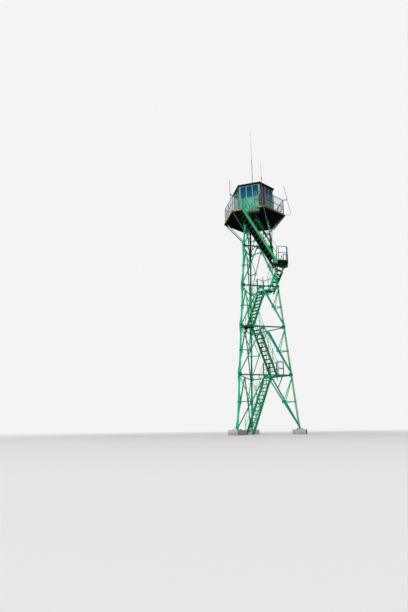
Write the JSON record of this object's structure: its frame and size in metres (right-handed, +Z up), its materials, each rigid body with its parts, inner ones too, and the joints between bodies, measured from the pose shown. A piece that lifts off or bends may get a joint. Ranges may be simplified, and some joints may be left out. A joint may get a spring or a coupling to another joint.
{
  "type": "fire lookout tower",
  "caption": "Three-legged steel lattice fire lookout tower with outside stairs, a six-sided railed platform, a glazed cabin, a mast and whip aerials",
  "frame": {"origin": "on the tower axis, level with the undersides of the footings", "axes": "+Z up; -Y square to the front face of the lattice, which has the upper stairs; +X to the right seen from the front"},
  "size_m": [5.0598, 4.924, 21.83],
  "materials": {
    "concrete": "rough cast concrete",
    "base_steel": "green paint, rust at the edges",
    "leg_paint": "satin green paint",
    "bar_paint": "satin green paint",
    "gusset_paint": "satin green paint, bolted",
    "beam_paint": "dark green paint",
    "deck_steel": "dark worn steel",
    "edge_paint": "rust-brown band",
    "rail_paint": "pale grey-green paint",
    "guard_paint": "red-brown primer",
    "post_paint": "pale green paint",
    "panel_paint": "mint green paint",
    "frame_paint": "pale green paint",
    "window_glass": "dark tinted glass",
    "band_paint": "dark green paint",
    "roof_paint": "dark sheet metal",
    "door_paint": "dark red paint",
    "handle_steel": "satin",
    "mast_paint": "pale grey-green paint",
    "antenna_white": "white sleeve",
    "whip_grey": "galvanised",
    "rusty_pole": "rusty",
    "stair_paint": "bright green paint",
    "tread_paint": "green paint, worn",
    "landing_paint": "green paint",
    "wire_steel": "bare wire"
  },
  "bodies": {
    "root": {"footings": "concrete", "base_plates": "base_steel", "leg_left": "leg_paint", "leg_right": "leg_paint", "leg_rear": "leg_paint", "horizontal_bars": "bar_paint", "front_diagonals": "bar_paint", "right_diagonals": "bar_paint", "left_diagonals": "bar_paint", "gusset_plates": "gusset_paint", "head_frame": "beam_paint", "knee_braces": "bar_paint", "platform_beams": "beam_paint", "platform_deck": "deck_steel", "platform_edge": "edge_paint", "platform_railing": "rail_paint", "stair_head_guard": "guard_paint", "cabin_corner_posts": "post_paint", "cabin_door_post": "post_paint", "cabin_wall_panels": "panel_paint", "cabin_window_frames": "frame_paint", "cabin_glass": "window_glass", "cabin_head_band": "band_paint", "cabin_roof": "roof_paint", "cabin_door": "door_paint", "door_handle": "handle_steel", "mast_pole": "mast_paint", "mast_antenna": "antenna_white", "left_whip": "whip_grey", "right_whip": "whip_grey", "near_whip": "rusty_pole", "near_whip_wire": "wire_steel", "flight_1_sides": "stair_paint", "flight_2_sides": "stair_paint", "flight_3_sides": "stair_paint", "flight_4_sides": "stair_paint", "flight_5_sides": "stair_paint", "stair_treads": "tread_paint", "landing_1": "landing_paint", "landing_2": "landing_paint", "landing_3": "landing_paint", "landing_4": "landing_paint", "landing_railings": "rail_paint", "landing_brackets": "bar_paint"}
  },
  "joints": []
}
